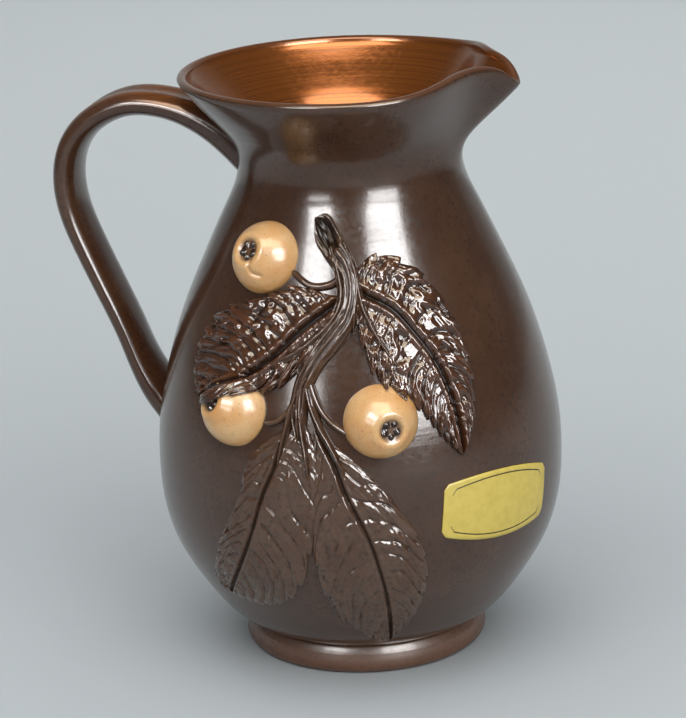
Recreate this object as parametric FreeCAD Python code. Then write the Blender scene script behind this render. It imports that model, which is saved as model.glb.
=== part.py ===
import FreeCAD, Part
import math
import os

from FreeCAD import Vector

# A thrown stoneware jug with a pulled lip, a strap handle and an applied sprig of leaves and fruit.
# Lengths are millimetres and angles are degrees.
# The origin is the centre of the resting plane, +Z is up and the lip pours towards +X.
# Angles run round the jug from +X, so the handle is at 180 and the decorated front faces -90.

# Thrown body
rim_height = 194.0
rim_radius = 55.5
lip_thickness = 3.4
neck_radius = 37.0
mouth_rise = 30.0
belly_radius = 67.6
belly_height = 65.0
base_radius = 38.5
wall_thickness = 5.0
floor_thickness = 6.0

# Pulled lip: the throat is pinched in and up, and the tip is drawn out and down
lip_depth = 34.0
throat_pinch = 6.8
throat_rise = 3.5
throat_angle = 25.0
throat_spread = 26.0
tip_reach = 6.6
tip_spread = 11.0
tip_drop = 6.0
tip_drop_spread = 7.0

# Foot ring
foot_height = 9.5
foot_radius = 40.6
foot_bore_radius = 32.0
foot_edge_radius = 3.2

# Strap handle
handle_width = 21.0
handle_thickness = 10.0
handle_end_thickness = 6.5
handle_groove_depth = 1.5
handle_reach = 60.0
handle_crest_rise = 19.5
handle_foot_height = 88.0

# Applied sprig
leaf_half_width = 20.0
leaf_thickness = 2.4
leaf_edge_thickness = 1.2
vein_depth = 0.7
midrib_depth = 1.1
twig_width = 8.0
twig_end_width = 5.0
twig_thickness = 4.2
twig_hollow_depth = 2.6
stalk_width = 2.6
stalk_thickness = 1.8
fruit_radius = 12.0
fruit_rise = 10.0
calyx_radius = 3.4
calyx_thickness = 1.5
calyx_basin_depth = 1.6

# Bare paper label
label_width = 46.0
label_side_height = 17.0
label_arch = 3.0
label_thickness = 0.3

# Fits
slip_gap = 0.3
piece_gap = 0.3

# Outline of the outside, as shares of each rise and swell
lower_outline_shares = ((0.05, 0.17), (0.28, 0.56), (0.56, 0.86), (0.84, 0.985))
upper_outline_shares = ((0.12, 0.985), (0.32, 0.865), (0.52, 0.665), (0.72, 0.385), (0.87, 0.155))
mouth_outline_shares = ((0.28, 0.06), (0.45, 0.24), (0.62, 0.48), (0.8, 0.74))

wall_columns = 60
outside_rings = 20
lip_steps = 4
pull_power = 1.5
edge_steps = 2

# Middle line of the strap: shares of its reach and of the rise to its crest, then of its fall to the belly
handle_crest_shares = ((-0.1, 0.0), (0.07, 0.5), (0.25, 0.82), (0.45, 0.98), (0.62, 0.98), (0.77, 0.82),
                       (0.89, 0.55), (0.97, 0.18))
handle_fall_shares = ((0.98, 0.93), (0.87, 0.78), (0.69, 0.61), (0.46, 0.42), (0.26, 0.25), (0.12, 0.11),
                      (-0.03, -0.02), (-0.16, -0.13))
strap_points = 20
strap_squareness = 0.8
strap_stations = 28
groove_share = 0.4

# Sprig: places on the wall as (angle, share of the rim's height), and shares across a roll and a leaf
twig_place_shares = ((-93.5, 0.789), (-88.5, 0.772), (-83.5, 0.748), (-80.0, 0.724), (-78.8, 0.692), (-80.0, 0.660),
                     (-84.0, 0.627), (-89.0, 0.592), (-93.0, 0.552), (-94.4, 0.515), (-94.0, 0.475))
stalk_place_shares = {
    "upper": ((-81.0, 0.712), (-86.0, 0.699), (-93.0, 0.701), (-99.0, 0.711), (-108.0, 0.725)),
    "left": ((-94.5, 0.530), (-98.0, 0.505), (-102.0, 0.492), (-109.0, 0.490)),
    "right": ((-91.5, 0.570), (-89.5, 0.530), (-86.0, 0.500), (-82.0, 0.484), (-77.0, 0.482)),
}
roll_shares = ((-1, 0.2), (-0.6, 0.8), (0, 1), (0.6, 0.8), (1, 0.2))
roll_end_share = 0.7
twig_stations = 18
twig_hollow_share = 0.08
twig_hollow_spread_share = 0.05
stalk_stations = 7

# Leaves: the midrib's places, then the half widths on its left and right at each station along it
leaf_station_shares = (0.0, 0.1, 0.3, 0.5, 0.7, 0.9, 1.0)
leaf_shares = {
    "leaf_upper_right": (((-77.0, 0.696), (-64.0, 0.660), (-55.0, 0.598), (-49.5, 0.490), (-49.0, 0.412)),
                         (0, 0.80, 0.66, 0.47, 0.29, 0.10, 0), (0, 1.20, 0.95, 0.62, 0.40, 0.14, 0)),
    "leaf_upper_left": (((-82.0, 0.675), (-95.0, 0.634), (-108.0, 0.572), (-134.0, 0.505)),
                        (0, 0.26, 0.35, 0.33, 0.20, 0.06, 0), (0, 0.50, 0.80, 0.84, 0.62, 0.24, 0)),
    "leaf_lower_left": (((-96.0, 0.485), (-101.5, 0.410), (-107.0, 0.325), (-115.0, 0.235), (-128.0, 0.152)),
                        (0, 0.80, 0.92, 0.90, 0.75, 0.35, 0), (0, 0.27, 0.41, 0.47, 0.44, 0.18, 0)),
    "leaf_lower_right": (((-87.5, 0.460), (-81.0, 0.370), (-75.5, 0.290), (-71.5, 0.190), (-67.5, 0.095)),
                         (0, 0.50, 0.74, 0.66, 0.44, 0.16, 0), (0, 0.36, 0.85, 0.70, 0.48, 0.16, 0)),
}
leaf_half_shares = ((0.12, 1.0), (0.4, 0.95), (0.7, 0.8), (1.0, 0.0))
leaf_teeth = 9
notch_share = 0.88
vein_sweep_share = 0.7

# Fruits as (angle, share of the rim's height, lean of the flower end, turn of that lean from sideways)
fruits = {
    "upper": (-115.0, 0.737, 44.0, 175.0),
    "left": (-115.7, 0.500, 56.0, 165.0),
    "right": (-71.0, 0.494, 22.0, -45.0),
}
fruit_bands = 8
fruit_sides = 20
calyx_floor = math.sqrt(fruit_radius ** 2 - (calyx_radius + piece_gap) ** 2) - calyx_basin_depth
calyx_points = 5
calyx_notch_share = 0.62
label_angle = -35.5
label_height_share = 0.323
label_tilt = -5.0
label_stations = 14
label_rise_shares = (-1, -0.5, 0, 0.5, 1)

neck_height = rim_height - mouth_rise


def turned(angle, radius, height):
    return Vector(radius * math.cos(math.radians(angle)), radius * math.sin(math.radians(angle)), height)


def between(first, last, share):
    return first + share * (last - first)


def bump(distance, spread):
    return math.exp(-(distance / spread) ** 2)


def largest(shape):
    """The main solid of a shape that a cut has left."""
    return max(shape.Solids, key=lambda solid: solid.Volume)


def outline_points():
    """Radius and height of the outside, from the groove over the foot to the rim."""
    points = [(base_radius, foot_height)]
    for rise, swell in lower_outline_shares:
        points.append((base_radius + swell * (belly_radius - base_radius),
                       foot_height + rise * (belly_height - foot_height)))
    points.append((belly_radius, belly_height))
    for rise, swell in upper_outline_shares:
        points.append((neck_radius + swell * (belly_radius - neck_radius),
                       belly_height + rise * (neck_height - belly_height)))
    points.append((neck_radius, neck_height))
    for rise, swell in mouth_outline_shares:
        points.append((neck_radius + swell * (rim_radius - neck_radius),
                       neck_height + rise * (rim_height - neck_height)))
    points.append((rim_radius, rim_height))
    return points


def outline_curve():
    curve = Part.BSplineCurve()
    curve.interpolate([Vector(radius, 0, height) for radius, height in outline_points()])
    return curve


outline = outline_curve()


def outside_places():
    """The rings of the outside, from the base up to the rim."""
    return [outline.value(between(outline.FirstParameter, outline.LastParameter, step / outside_rings))
            for step in range(outside_rings + 1)]


def outline_at(height):
    """Radius of the outside at a height, and the wall's direction there as (outward, upward)."""
    rings = outside_places()
    low, high = rings[0], rings[1]
    for ring in rings[2:]:
        if height > high.z:
            low, high = high, ring
    radius = between(low.x, high.x, (height - low.z) / (high.z - low.z))
    direction = outline.tangent(outline.parameter(Vector(radius, 0, height)))[0]
    return radius, direction.x, direction.z


def wall_point(angle, height, lift):
    """A point that stands off the outside of the body by lift, square to the wall."""
    radius, out, up = outline_at(height)
    return turned(angle, radius + lift * up, height - lift * out)


def wall_step(angle, height, side, up):
    """The angle and height reached by going side and up along the wall."""
    radius, _, rise = outline_at(height)
    return angle + math.degrees(side / radius), height + up * rise


def core(stand_off):
    """The body's outer form as a solid, grown by stand_off all round."""
    side = []
    for place in outside_places():
        direction = outline.tangent(outline.parameter(place))[0]
        side.append(Vector(place.x + stand_off * direction.z, 0, place.z - stand_off * direction.x))
    loop = [Vector(0, 0, side[0].z)] + side + [Vector(0, 0, side[-1].z)]
    return Part.Face(Part.makePolygon(loop + loop[:1])).revolve(Vector(0, 0, 0), Vector(0, 0, 1), 360)


def pulled_ring(radius, height):
    """A ring of the wall, drawn towards the pouring lip the higher it lies."""
    pull = max(0, 1 - (rim_height - height) / lip_depth) ** pull_power
    ring = []
    for step in range(wall_columns):
        angle = (360 * step / wall_columns + 180) % 360 - 180
        throat = bump(angle - throat_angle, throat_spread) + bump(angle + throat_angle, throat_spread)
        reach = bump(angle, tip_spread) * tip_reach - throat * throat_pinch
        rise = throat * throat_rise - bump(angle, tip_drop_spread) * tip_drop
        ring.append(turned(angle, radius + pull * reach, height + pull * rise))
    return ring


def body():
    """One thrown wall, ring by ring: up the outside, over the round lip and down to the floor."""
    lip_round = lip_thickness / 2
    floor_height = foot_height + floor_thickness
    outside = outside_places()[:-1]
    rings = [pulled_ring(place.x, place.z) for place in outside]
    for step in range(lip_steps + 1):
        turn = math.pi * step / lip_steps
        rings.append(pulled_ring(rim_radius - lip_round + lip_round * math.cos(turn),
                                 rim_height + lip_round * math.sin(turn)))
    for place in outside[::-2]:
        if place.z > floor_height + wall_thickness:
            rings.append(pulled_ring(place.x - wall_thickness, place.z))
    rings.append(pulled_ring(outline_at(floor_height)[0] - 2 * wall_thickness, floor_height))
    return skin(rings, Vector(0, 0, foot_height), Vector(0, 0, floor_height))


def foot_ring():
    """A turned ring with a flat resting edge and a rounded outer side, luted under the base."""
    points = [(foot_bore_radius, foot_height), (foot_bore_radius, 0)]
    for step in range(edge_steps + 1):
        turn = math.radians(90 * step / edge_steps)
        points.append((foot_radius - foot_edge_radius * (1 - math.sin(turn)),
                       foot_edge_radius * (1 - math.cos(turn))))
    points.append((foot_radius, foot_height - (foot_radius - base_radius)))
    points.append((base_radius, foot_height))
    section = Part.makePolygon([Vector(radius, 0, height) for radius, height in points + points[:1]])
    return Part.Face(section).revolve(Vector(0, 0, 0), Vector(0, 0, 1), 360)


def handle_path():
    """The strap's middle line, from inside the neck, over the crest and down into the belly."""
    points = []
    for out, rise in handle_crest_shares:
        points.append(Vector(-neck_radius - out * handle_reach, 0, neck_height + rise * handle_crest_rise))
    for out, rise in handle_fall_shares:
        height = handle_foot_height + rise * (neck_height - handle_foot_height)
        points.append(Vector(-outline_at(height)[0] - out * handle_reach, 0, height))
    path = Part.BSplineCurve()
    path.interpolate(points)
    return path


def strap_section(centre, outward, thickness):
    """Closed strap section: a shallow groove between two rounded ridges on its outer face."""
    points = []
    for step in range(strap_points):
        turn = math.radians(360 * step / strap_points)
        across = math.copysign(abs(math.cos(turn)) ** strap_squareness, math.cos(turn))
        stand = math.copysign(abs(math.sin(turn)) ** strap_squareness, math.sin(turn))
        groove = handle_groove_depth * bump(across, groove_share) if stand > 0 else 0
        points.append(centre + Vector(0, across * handle_width / 2, 0)
                      + outward * (stand * thickness / 2 - groove))
    return points


def handle():
    """A pulled strap, thinner towards its lower end, its two ends cut to the wall that they join."""
    path = handle_path()
    sections = []
    for step in range(strap_stations + 1):
        share = step / strap_stations
        value = between(path.FirstParameter, path.LastParameter, share)
        outward = Vector(0, 1, 0).cross(path.tangent(value)[0])
        thickness = between(handle_thickness, handle_end_thickness, share)
        sections.append(strap_section(path.value(value), outward, thickness))
    strap = skin(sections, path.value(path.FirstParameter), path.value(path.LastParameter))
    return largest(strap.cut(core(slip_gap)))


def curved_place(places, share):
    """A place on the smooth curve through three or more (angle, height share) places, and the way ahead."""
    line = Part.BSplineCurve()
    line.interpolate([Vector(math.radians(angle) * belly_radius, rise * rim_height, 0) for angle, rise in places])
    value = between(line.FirstParameter, line.LastParameter, share)
    place = line.value(value)
    ahead = line.tangent(value)[0]
    radius, _, rise = outline_at(place.y)
    ahead = Vector(ahead.x * radius / belly_radius, ahead.y / rise, 0).normalize()
    return math.degrees(place.x / belly_radius), place.y, ahead


def strip_section(angle, height, ahead, profile):
    """A closed section that lies across the wall; profile holds (across, along, lift) from side to side."""
    top = []
    back = []
    for across, along, lift in profile:
        side = along * ahead.x - across * ahead.y
        up = along * ahead.y + across * ahead.x
        place = wall_step(angle, height, side, up)
        top.append(wall_point(*place, slip_gap + lift))
        back.append(wall_point(*place, slip_gap))
    return top + back[::-1]


def facet(*corners):
    return Part.Face(Part.makePolygon(list(corners) + [corners[0]]))


def skin(sections, first, last):
    """A solid skinned with flat facets from a first point, through closed sections, to a last point."""
    facets = []
    count = len(sections[0])
    for near, far in zip(sections, sections[1:]):
        for step in range(count):
            after = (step + 1) % count
            facets.append(facet(near[step], near[after], far[after]))
            facets.append(facet(near[step], far[after], far[step]))
    for step in range(count):
        after = (step + 1) % count
        facets.append(facet(first, sections[0][after], sections[0][step]))
        facets.append(facet(last, sections[-1][step], sections[-1][after]))
    shell = Part.makeShell(facets)
    shell.sewShape()
    solid = Part.Solid(shell)
    if solid.Volume < 0:
        solid.reverse()
    return solid


def tip_points(places, lift):
    """The two points, lifted off the wall, at the ends of the curve through some places."""
    ends = []
    for share in (0, 1):
        angle, height, _ = curved_place(places, share)
        ends.append(wall_point(angle, height, slip_gap + lift))
    return ends


def roll(places, start_width, end_width, thickness, stations, hollow=0):
    """A rounded roll of clay laid along the wall, dished by hollow near its start."""
    sections = []
    for step in range(1, stations):
        share = step / stations
        angle, height, ahead = curved_place(places, share)
        half = between(start_width, end_width, share) / 2
        rise = thickness * between(1, roll_end_share, share)
        dish = hollow * bump(share - twig_hollow_share, twig_hollow_spread_share)
        sections.append(strip_section(angle, height, ahead,
                                      [(side * half, 0, lift * rise - (0 if side else dish))
                                       for side, lift in roll_shares]))
    return skin(sections, *tip_points(places, thickness * roll_end_share / 2))


def roll_room(places, start_width, end_width, thickness, stations):
    """The room that a roll takes in what lies beside it."""
    sections = []
    for step in range(1, stations):
        share = step / stations
        angle, height, ahead = curved_place(places, share)
        half = between(start_width, end_width, share) / 2 + piece_gap
        sections.append(strip_section(angle, height, ahead, [(side * half, 0, 2 * thickness) for side in (-1, 0, 1)]))
    return skin(sections, *tip_points(places, thickness))


def half_width(width_shares, share):
    """A leaf's half width at a share of its midrib."""
    step = max(index for index, station in enumerate(leaf_station_shares[:-1]) if station <= share)
    part = (share - leaf_station_shares[step]) / (leaf_station_shares[step + 1] - leaf_station_shares[step])
    return leaf_half_width * between(width_shares[step], width_shares[step + 1], part)


def blade_lift(side_share, lift_share, sink):
    """How far a leaf's face stands out at a share of its half width, down to the groove along its midrib."""
    if side_share == 0:
        return leaf_thickness - midrib_depth
    return between(leaf_edge_thickness, leaf_thickness, lift_share) - sink * lift_share


def leaf(places, left_shares, right_shares, room=0):
    """A serrated leaf: each tooth ends a sunken side vein, and the blade swells between the veins.

    With a room, it is the space that the leaf takes in its neighbours instead, so much wider all round.
    """
    sections = []
    stations = 2 * leaf_teeth
    for step in range(1, stations):
        share = step / stations
        angle, height, ahead = curved_place(places, share)
        is_tooth = step % 2 == 1
        reach = 1 if is_tooth or room else notch_share
        halves = []
        for sign, width_shares in ((-1, right_shares), (1, left_shares)):
            width = half_width(width_shares, share) * reach + room
            halves.append([(sign * side * width, side * width * vein_sweep_share, side, rise)
                           for side, rise in leaf_half_shares])
        profile = halves[0][::-1] + [(0, 0, 0, 1)] + halves[1]
        lifted = []
        for across, along, side, rise in profile:
            lift = 2 * twig_thickness if room else blade_lift(side, rise, vein_depth if is_tooth else 0)
            lifted.append((across, along, lift))
        sections.append(strip_section(angle, height, ahead, lifted))
    return skin(sections, *tip_points(places, leaf_edge_thickness / 2))


def wall_axes(angle, height):
    """The directions at a place on the wall: sideways round it, up along it and square out of it."""
    _, out, up = outline_at(height)
    side = turned(angle + 90, 1, 0)
    return side, turned(angle, out, up), turned(angle, up, -out)


def fruit_frame(place):
    """The turn and centre of a fruit whose flower end leans from the wall."""
    angle, rise, tilt, lean_turn = place
    height = rise * rim_height
    side, up, square = wall_axes(angle, height)
    lean = math.radians(tilt)
    turn = math.radians(lean_turn)
    pole = square * math.cos(lean) + (side * math.cos(turn) + up * math.sin(turn)) * math.sin(lean)
    centre = wall_point(angle, height, fruit_rise - fruit_radius)
    return FreeCAD.Placement(centre, FreeCAD.Rotation(Vector(0, 0, 1), pole))


def level_ring(radius, height, sides):
    return [turned(360 * step / sides, radius, height) for step in range(sides)]


def fruit(place):
    """A round fruit with a basin at its flower end, cut to sit on the wall."""
    basin_radius = calyx_radius + piece_gap
    basin_turn = math.asin(basin_radius / fruit_radius)
    rings = [level_ring(basin_radius, calyx_floor, fruit_sides)]
    for step in range(fruit_bands):
        turn = between(basin_turn, math.pi, step / fruit_bands)
        rings.append(level_ring(fruit_radius * math.sin(turn), fruit_radius * math.cos(turn), fruit_sides))
    ball = skin(rings, Vector(0, 0, calyx_floor), Vector(0, 0, -fruit_radius))
    ball.Placement = fruit_frame(place)
    return largest(ball.cut(core(slip_gap)))


def fruit_seat(place):
    """The room that a fruit takes in what lies beside it."""
    height = place[1] * rim_height
    square = wall_axes(place[0], height)[2]
    start = wall_point(place[0], height, -fruit_rise)
    return Part.makeCylinder(fruit_radius + piece_gap, 2 * fruit_rise, start, square)


def calyx(place):
    """A dry five-pointed flower end that lies in the fruit's basin, dished towards its middle."""
    rings = []
    for height in (calyx_floor, calyx_floor + calyx_thickness):
        ring = level_ring(calyx_radius, height, 2 * calyx_points)
        for step in range(1, len(ring), 2):
            ring[step] = turned(180 * step / calyx_points, calyx_radius * calyx_notch_share, height)
        rings.append(ring)
    star = skin(rings, Vector(0, 0, calyx_floor), Vector(0, 0, calyx_floor + calyx_thickness / 2))
    star.Placement = fruit_frame(place)
    return star


def label():
    """A thin paper label with arched edges, bent to the belly."""
    height = label_height_share * rim_height
    tilt = math.radians(label_tilt)
    along = Vector(math.cos(tilt), math.sin(tilt), 0)
    sections = []
    ends = []
    for step in range(label_stations + 1):
        share = 2 * step / label_stations - 1
        half = label_side_height / 2 + label_arch * (1 - share ** 2)
        profile = [(half * rise, share * label_width / 2, label_thickness) for rise in label_rise_shares]
        sections.append(strip_section(label_angle, height, along, profile))
    for section in (sections[0], sections[-1]):
        ends.append(sum(section, Vector(0, 0, 0)) / len(section))
    return skin(sections, *ends)


def cleared(shape, rooms):
    """The main solid of a shape once the rooms of its neighbours are cut from it."""
    for room in rooms:
        if shape.BoundBox.intersect(room.BoundBox):
            shape = shape.cut(room)
    return largest(shape)


def sprig():
    """The applied sprig: the twig, the fruits, then stalks and leaves that make way for what lies there."""
    shapes = {"twig": roll(twig_place_shares, twig_width, twig_end_width, twig_thickness, twig_stations,
                           twig_hollow_depth)}
    rooms = [roll_room(twig_place_shares, twig_width, twig_end_width, twig_thickness, twig_stations)]
    for name, place in fruits.items():
        shapes["fruit_" + name] = fruit(place)
        shapes["calyx_" + name] = calyx(place)
        rooms.append(fruit_seat(place))
    beside = list(rooms)
    for name, places in stalk_place_shares.items():
        stalk = roll(places, stalk_width, stalk_width, stalk_thickness, stalk_stations)
        shapes["stalk_" + name] = cleared(stalk, beside)
        rooms.append(roll_room(places, stalk_width, stalk_width, stalk_thickness, stalk_stations))
    for name, (places, left_shares, right_shares) in leaf_shares.items():
        shapes[name] = cleared(leaf(places, left_shares, right_shares), rooms)
        rooms.append(leaf(places, left_shares, right_shares, piece_gap))
    return shapes


def pieces():
    """Every piece of the jug by its node's name."""
    return {"body": body(), "foot_ring": foot_ring(), "handle": handle(), **sprig(), "label": label()}


if __name__ == "__main__":
    os.makedirs("parts", exist_ok=True)
    for node, shape in pieces().items():
        shape.exportStep("parts/" + node + ".step")
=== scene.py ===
"""A brown glazed stoneware relief jug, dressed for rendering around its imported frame.

Lengths are millimetres and angles are degrees unless a name says otherwise, and meshes are written in
metres. Angles run round the jug from the pouring lip at 0, so the handle is at 180 and the decorated
front faces -90. Heights are measured from the table. A lift is a distance out of the wall, square to it.
"""
import logging
import math
from dataclasses import dataclass, field, replace
from enum import Enum
from typing import Any, Callable

import bmesh
import bpy
import numpy as np
from mathutils import Matrix, Vector, noise


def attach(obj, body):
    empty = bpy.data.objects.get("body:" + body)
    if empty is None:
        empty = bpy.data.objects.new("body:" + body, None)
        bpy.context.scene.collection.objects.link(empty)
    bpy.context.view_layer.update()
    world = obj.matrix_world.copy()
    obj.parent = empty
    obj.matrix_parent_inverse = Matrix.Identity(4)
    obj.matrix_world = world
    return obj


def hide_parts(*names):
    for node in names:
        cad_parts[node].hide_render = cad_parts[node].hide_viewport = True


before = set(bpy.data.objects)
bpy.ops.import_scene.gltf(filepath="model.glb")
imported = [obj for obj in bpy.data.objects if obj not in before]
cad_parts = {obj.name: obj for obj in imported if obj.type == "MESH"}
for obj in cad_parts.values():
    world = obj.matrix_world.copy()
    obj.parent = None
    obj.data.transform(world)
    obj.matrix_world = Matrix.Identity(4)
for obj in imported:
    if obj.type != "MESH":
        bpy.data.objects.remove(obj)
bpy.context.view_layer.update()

log = logging.getLogger("jug")
MILLIMETRE = 0.001
Places = tuple[tuple[float, float], ...]


def linear(hex_colour: str) -> tuple[float, float, float, float]:
    """Turns an sRGB hex colour into linear light.

    Args:
        hex_colour: The colour as a hash and six hex digits.

    Returns:
        Red, green, blue and full opacity, in linear light.
    """
    channels = []
    for start in (1, 3, 5):
        value = int(hex_colour[start:start + 2], 16) / 255
        channels.append(value / 12.92 if value <= 0.04045 else ((value + 0.055) / 1.055) ** 2.4)
    return (*channels, 1.0)


def spline(points: Any, shares: Any) -> np.ndarray:
    """Reads places on the natural cubic spline through some points.

    Args:
        points: The points, one row each.
        shares: Where to read, from 0 at the first point to 1 at the last, by chord length.

    Returns:
        One row for each share.
    """
    knots = np.asarray(points, dtype=float)
    gaps = np.linalg.norm(np.diff(knots, axis=0), axis=1)
    reach = np.concatenate([[0.0], np.cumsum(gaps)])
    system = np.eye(len(knots))
    pulls = np.zeros_like(knots)
    for row in range(1, len(knots) - 1):
        before, after = gaps[row - 1], gaps[row]
        system[row, row - 1:row + 2] = before, 2 * (before + after), after
        pulls[row] = 6 * ((knots[row + 1] - knots[row]) / after - (knots[row] - knots[row - 1]) / before)
    bends = np.linalg.solve(system, pulls)
    where = np.clip(np.asarray(shares, dtype=float), 0, 1) * reach[-1]
    span = np.clip(np.searchsorted(reach, where, side="right") - 1, 0, len(gaps) - 1)
    gap = gaps[span][..., None]
    late = (where - reach[span])[..., None] / gap
    early = 1 - late
    curve = ((early ** 3 - early) * bends[span] + (late ** 3 - late) * bends[span + 1]) * gap ** 2 / 6
    return early * knots[span] + late * knots[span + 1] + curve


def stacked(*coordinates: Any) -> np.ndarray:
    """Sets coordinates side by side in a last axis, after stretching them all to one grid."""
    return np.stack(np.broadcast_arrays(*coordinates), axis=-1)


def around(radius: Any, turn: Any, height: Any) -> np.ndarray:
    """Points round an upright axis, from distances, turns in radians and heights."""
    return stacked(radius * np.cos(turn), radius * np.sin(turn), height)


def turns_round(count: int) -> np.ndarray:
    """Turns in radians, evenly spaced round a circle."""
    return np.radians(np.linspace(0, 360, count, endpoint=False))


def headings(line: np.ndarray) -> np.ndarray:
    """The direction of a line at each of its points, one unit long."""
    ahead = np.gradient(line, axis=0)
    return ahead / np.linalg.norm(ahead, axis=1)[:, None]


def hump(distance: Any, spread: float) -> Any:
    """A smooth bump: 1 at no distance, falling away over the spread."""
    return np.exp(-(np.asarray(distance) / spread) ** 2)


def grain(places: np.ndarray, size: tuple[float, ...], octaves: int = 2) -> np.ndarray:
    """Smooth noise, the same on every run.

    Args:
        places: Rows of two or three coordinates in millimetres, in any grid shape.
        size: How large the noise's features are along each coordinate.
        octaves: How many finer layers are added up.

    Returns:
        Values of about -1 to 1, in the shape of the grid.
    """
    flat = places.reshape(-1, places.shape[-1]) / np.asarray(size)
    if flat.shape[1] == 2:
        flat = np.column_stack([flat, np.zeros(len(flat))])
    values = np.zeros(len(flat))
    for octave in range(octaves):
        finer = 2.0 ** octave
        values += np.array([noise.noise(Vector(place * finer)) for place in flat]) / finer
    return values.reshape(places.shape[:-1])


def grid_faces(rows: int, columns: int, closed: bool, start: int = 0) -> list[tuple[int, ...]]:
    """Four-sided faces that join a grid of points.

    Args:
        rows: How many rows there are.
        columns: How many points each row has.
        closed: Whether the last column joins the first.
        start: The number of the grid's first point.

    Returns:
        The corners of each face.
    """
    faces = []
    for row in range(rows - 1):
        for column in range(columns if closed else columns - 1):
            after = (column + 1) % columns
            faces.append((start + row * columns + column, start + row * columns + after,
                          start + (row + 1) * columns + after, start + (row + 1) * columns + column))
    return faces


def link(name: str, data: bpy.types.ID) -> bpy.types.Object:
    """Puts a mesh, a lamp or a lens into the scene as a new object."""
    thing = bpy.data.objects.new(name, data)
    bpy.context.scene.collection.objects.link(thing)
    return thing


def make_object(name: str, points: np.ndarray, faces: list[tuple[int, ...]],
                marks: dict[str, np.ndarray] | None = None) -> bpy.types.Object:
    """Makes a smooth-shaded object from points and faces.

    Args:
        name: The object's name.
        points: Rows of x, y and z in millimetres.
        faces: The corners of each face.
        marks: Values kept at each point for the materials to read, by name.

    Returns:
        The new object, in the scene.
    """
    mesh = bpy.data.meshes.new(name)
    mesh.from_pydata((np.asarray(points) * MILLIMETRE).tolist(), [], faces)
    for mark, values in (marks or {}).items():
        layer = mesh.attributes.new(mark, "FLOAT", "POINT")
        layer.data.foreach_set("value", np.asarray(values, dtype=float).ravel())
    mesh.polygons.foreach_set("use_smooth", [True] * len(mesh.polygons))
    mesh.validate()
    return link(name, mesh)


def turn_outward(piece: bpy.types.Object) -> None:
    """Turns the faces of a closed mesh outward."""
    shell = bmesh.new()
    shell.from_mesh(piece.data)
    bmesh.ops.recalc_face_normals(shell, faces=shell.faces)
    shell.to_mesh(piece.data)
    shell.free()


def tube(name: str, rings: np.ndarray, marks: dict[str, np.ndarray]) -> bpy.types.Object:
    """Skins closed rings and shuts both ends with a fan.

    Args:
        name: The object's name.
        rings: Rings of points, as rows, columns and coordinates.
        marks: Values at each ring point, by name.

    Returns:
        The closed object.
    """
    rows, columns = rings.shape[:2]
    points = np.vstack([rings.reshape(-1, 3), rings[0].mean(axis=0), rings[-1].mean(axis=0)])
    faces = grid_faces(rows, columns, True)
    first, last = rows * columns, rows * columns + 1
    for column in range(columns):
        after = (column + 1) % columns
        faces.append((first, after, column))
        faces.append((last, (rows - 1) * columns + column, (rows - 1) * columns + after))
    ends = {}
    for mark, values in marks.items():
        ends[mark] = np.concatenate([values.ravel(), [values[0].mean(), values[-1].mean()]])
    piece = make_object(name, points, faces, ends)
    turn_outward(piece)
    return piece


def add_node(tree: bpy.types.NodeTree, kind: str, settings: dict[Any, Any] | None = None,
             links: dict[Any, Any] | None = None) -> bpy.types.Node:
    """Adds a node with its settings and links.

    Args:
        tree: The node tree that takes the node.
        kind: The node's type, without the ShaderNode that all of them start with.
        settings: Values by property name or by input name or number.
        links: Output sockets by the name or number of the input that they feed.

    Returns:
        The new node.
    """
    node = tree.nodes.new("ShaderNode" + kind)
    for key, value in (settings or {}).items():
        if isinstance(key, str) and hasattr(node, key):
            setattr(node, key, value)
        else:
            node.inputs[key].default_value = value
    for key, socket in (links or {}).items():
        tree.links.new(socket, node.inputs[key])
    return node


@dataclass(frozen=True)
class Reach:
    """How a value turns into a share: least at start, most at full, and a straight run between."""

    start: float
    full: float
    most: float = 1.0
    least: float = 0.0

    def settings(self) -> dict[int, float]:
        """The range's settings by input number."""
        return {1: self.start, 2: self.full, 3: self.least, 4: self.most}


@dataclass(frozen=True)
class Pattern:
    """Soft noise of a real size in millimetres. A turned pattern changes with height alone."""

    size: float
    detail: float = 2.0
    roughness: float = 0.5
    turned: bool = False

    def settings(self) -> dict[str, Any]:
        """The noise's settings by name."""
        return {"noise_dimensions": "1D" if self.turned else "3D", "Scale": 1 / (self.size * MILLIMETRE),
                "Detail": self.detail, "Roughness": self.roughness}


@dataclass(frozen=True)
class Finish:
    """What all finishes share: a name and a node material that is made once."""

    name: str

    def material(self) -> bpy.types.Material:
        """Returns the finish's material, making it the first time."""
        made = bpy.data.materials.get(self.name)
        if made:
            return made
        made = bpy.data.materials.new(self.name)
        made.use_nodes = True
        made.node_tree.nodes.clear()
        shader = self.shader(made.node_tree)
        add_node(made.node_tree, "OutputMaterial", links={"Surface": shader.outputs["BSDF"]})
        return made

    def shader(self, tree: bpy.types.NodeTree) -> bpy.types.Node:
        """Adds the finish's nodes and returns its shader node."""
        raise NotImplementedError


def layered(tree: bpy.types.NodeTree, ground: str, *layers: tuple[Any, Any]) -> Any:
    """Lays colours over a ground colour, one after the other, as glazes are.

    Args:
        tree: The node tree.
        ground: The lowest colour.
        layers: The share that each next layer covers, as a socket, and its colour, as hex or a socket.

    Returns:
        The socket of the colour that shows.
    """
    below = None
    for share, tint in layers:
        settings, links = {"data_type": "RGBA", 6: linear(ground)}, {0: share}
        if below is not None:
            links[6] = below
        if isinstance(tint, str):
            settings[7] = linear(tint)
        else:
            links[7] = tint
        below = add_node(tree, "Mix", settings, links).outputs[2]
    return below


BROAD_MOTTLE = Pattern(16.0, detail=4.0, roughness=0.6)
LEAF_MOTTLE = replace(BROAD_MOTTLE, size=10.0)


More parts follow.
